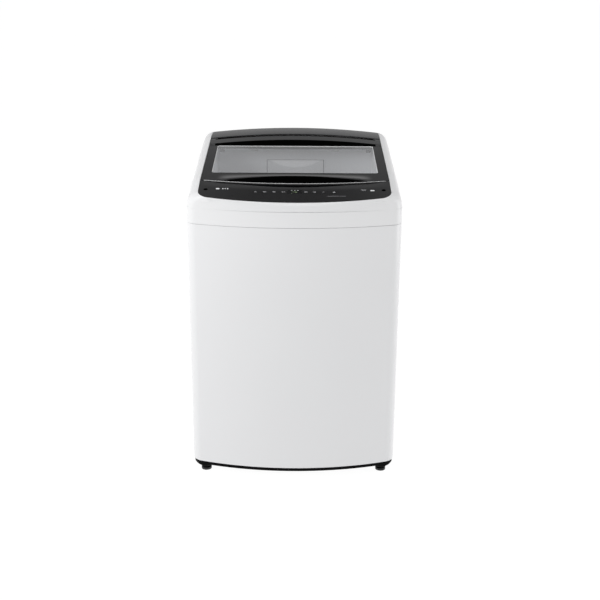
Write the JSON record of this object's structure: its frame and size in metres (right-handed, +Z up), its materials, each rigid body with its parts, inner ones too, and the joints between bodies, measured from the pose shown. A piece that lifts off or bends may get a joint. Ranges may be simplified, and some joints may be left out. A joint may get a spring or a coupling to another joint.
{
  "type": "top load washing machine",
  "caption": "Free-standing top-loading washing machine: bowed enamelled cabinet, sloping top with a glazed hinged lid, control strip, sprung tub, basket and pulsator.",
  "frame": {"origin": "on the floor, under the centre of the bounding box", "axes": "+Z up, -Y towards the user (the bowed front with the control panel), +X to the right as the user faces it"},
  "size_m": [0.632, 0.67, 0.9975],
  "materials": {
    "cabinet_enamel": "gloss enamel",
    "cover_plastic": "satin gloss ABS",
    "black_plastic": "fine satin moulding",
    "black_gloss": "gloss film",
    "key_plastic": "satin",
    "display_smoke": "smoked window",
    "circuit_board": "solder mask",
    "lid_plastic": "satin gloss",
    "tinted_glass": "toughened, lightly tinted",
    "grey_plastic": "light grey polypropylene",
    "drawer_plastic": "light grey polypropylene",
    "valve_plastic": "off-white nylon",
    "tub_plastic": "filled polypropylene",
    "stainless": "brushed stainless",
    "zinc_steel": "zinc plated",
    "galvanised": "galvanised sheet",
    "cast_aluminium": "die cast",
    "copper_winding": "enamelled winding and moulding",
    "black_rubber": "moulded rubber",
    "spring_steel": "oiled spring steel",
    "blue_mesh": "moulded mesh frame"
  },
  "bodies": {
    "cabinet": {"cabinet": "cabinet_enamel", "rear_panel": "galvanised", "base_frame": "black_plastic", "foot_locknuts": "zinc_steel", "top_cover": "cover_plastic", "control_panel": "black_plastic", "fascia_plate": "black_gloss", "display_lens": "display_smoke", "display_board": "circuit_board", "screw_caps": "key_plastic", "hinge_brackets": "zinc_steel", "lid_switch": "valve_plastic", "rear_cover": "black_plastic", "loading_collar": "grey_plastic", "dispenser_housing": "grey_plastic", "inlet_valves": "valve_plastic", "suspension_rods": "zinc_steel", "suspension_springs": "spring_steel", "suspension_seats": "valve_plastic", "corner_brackets": "galvanised", "drain_bellows": "black_rubber", "drain_outlet": "black_plastic", "pressure_sensor": "valve_plastic", "main_board_box": "black_plastic", "cord_gland": "black_rubber", "cover_screws": "zinc_steel"},
    "lid": {"lid_frame": "lid_plastic", "lid_glass": "tinted_glass", "lid_hinge_pins": "zinc_steel", "lid_hook": "lid_plastic"},
    "tub": {"outer_tub": "tub_plastic", "tub_cover": "tub_plastic", "bearing_housing": "cast_aluminium", "bearings": "zinc_steel", "shaft_seal": "black_rubber", "stator": "copper_winding", "drain_valve": "black_plastic"},
    "basket": {"basket": "stainless", "basket_hub": "cast_aluminium", "balance_ring": "tub_plastic", "spin_shaft": "zinc_steel", "lint_filter": "blue_mesh"},
    "drive": {"pulsator": "tub_plastic", "pulsator_screw": "zinc_steel", "wash_shaft": "zinc_steel", "rotor": "galvanised"},
    "drawer": {"detergent_drawer": "drawer_plastic"},
    "key_power": {"key_power": "key_plastic"},
    "key_program": {"key_program": "key_plastic"},
    "key_water": {"key_water": "key_plastic"},
    "key_soak": {"key_soak": "key_plastic"},
    "key_wash": {"key_wash": "key_plastic"},
    "key_rinse": {"key_rinse": "key_plastic"},
    "key_spin": {"key_spin": "key_plastic"},
    "key_start": {"key_start": "key_plastic"},
    "foot_front_left": {"foot_front_left": "black_rubber"},
    "foot_front_right": {"foot_front_right": "black_rubber"},
    "foot_rear_left": {"foot_rear_left": "black_rubber"},
    "foot_rear_right": {"foot_rear_right": "black_rubber"}
  },
  "joints": [
    {"name": "lid_hinge", "type": "hinge", "parent": "cabinet", "child": "lid", "pos_m": [0, 0.19, 0.9775], "axis": [-1, 0, 0], "range_deg": [0, 95]},
    {"name": "tub_suspension", "type": "slide", "parent": "cabinet", "child": "tub", "axis": [0, 0, 1], "range_m": [-0.03, 0.015], "stiffness_N_per_m": 16000, "springref_m": 0.0181, "deforming": ["suspension_springs", "drain_bellows"]},
    {"name": "basket_spin", "type": "hinge", "parent": "tub", "child": "basket", "pos_m": [0, 0, 0.262], "axis": [0, 0, 1], "continuous": true},
    {"name": "pulsator_spin", "type": "hinge", "parent": "tub", "child": "drive", "pos_m": [0, 0, 0.14], "axis": [0, 0, 1], "continuous": true},
    {"name": "drawer_slide", "type": "slide", "parent": "cabinet", "child": "drawer", "axis": [0, -1, 0], "range_m": [0, 0.085]},
    {"name": "key_power_press", "type": "slide", "parent": "cabinet", "child": "key_power", "axis": [0, 0.3714, -0.9285], "range_m": [0, 0.0012], "stiffness_N_per_m": 400, "springref_m": -0.002},
    {"name": "key_program_press", "type": "slide", "parent": "cabinet", "child": "key_program", "axis": [0, 0.3714, -0.9285], "range_m": [0, 0.0012], "stiffness_N_per_m": 400, "springref_m": -0.002},
    {"name": "key_water_press", "type": "slide", "parent": "cabinet", "child": "key_water", "axis": [0, 0.3714, -0.9285], "range_m": [0, 0.0012], "stiffness_N_per_m": 400, "springref_m": -0.002},
    {"name": "key_soak_press", "type": "slide", "parent": "cabinet", "child": "key_soak", "axis": [0, 0.3714, -0.9285], "range_m": [0, 0.0012], "stiffness_N_per_m": 400, "springref_m": -0.002},
    {"name": "key_wash_press", "type": "slide", "parent": "cabinet", "child": "key_wash", "axis": [0, 0.3714, -0.9285], "range_m": [0, 0.0012], "stiffness_N_per_m": 400, "springref_m": -0.002},
    {"name": "key_rinse_press", "type": "slide", "parent": "cabinet", "child": "key_rinse", "axis": [0, 0.3714, -0.9285], "range_m": [0, 0.0012], "stiffness_N_per_m": 400, "springref_m": -0.002},
    {"name": "key_spin_press", "type": "slide", "parent": "cabinet", "child": "key_spin", "axis": [0, 0.3714, -0.9285], "range_m": [0, 0.0012], "stiffness_N_per_m": 400, "springref_m": -0.002},
    {"name": "key_start_press", "type": "slide", "parent": "cabinet", "child": "key_start", "axis": [0, 0.3714, -0.9285], "range_m": [0, 0.0012], "stiffness_N_per_m": 400, "springref_m": -0.002},
    {"name": "foot_front_left_screw", "type": "hinge", "parent": "cabinet", "child": "foot_front_left", "pos_m": [-0.276, -0.262, 0], "axis": [0, 0, 1], "continuous": true},
    {"name": "foot_front_right_screw", "type": "hinge", "parent": "cabinet", "child": "foot_front_right", "pos_m": [0.276, -0.262, 0], "axis": [0, 0, 1], "continuous": true},
    {"name": "foot_rear_left_screw", "type": "hinge", "parent": "cabinet", "child": "foot_rear_left", "pos_m": [-0.276, 0.286, 0], "axis": [0, 0, 1], "continuous": true},
    {"name": "foot_rear_right_screw", "type": "hinge", "parent": "cabinet", "child": "foot_rear_right", "pos_m": [0.276, 0.286, 0], "axis": [0, 0, 1], "continuous": true}
  ]
}
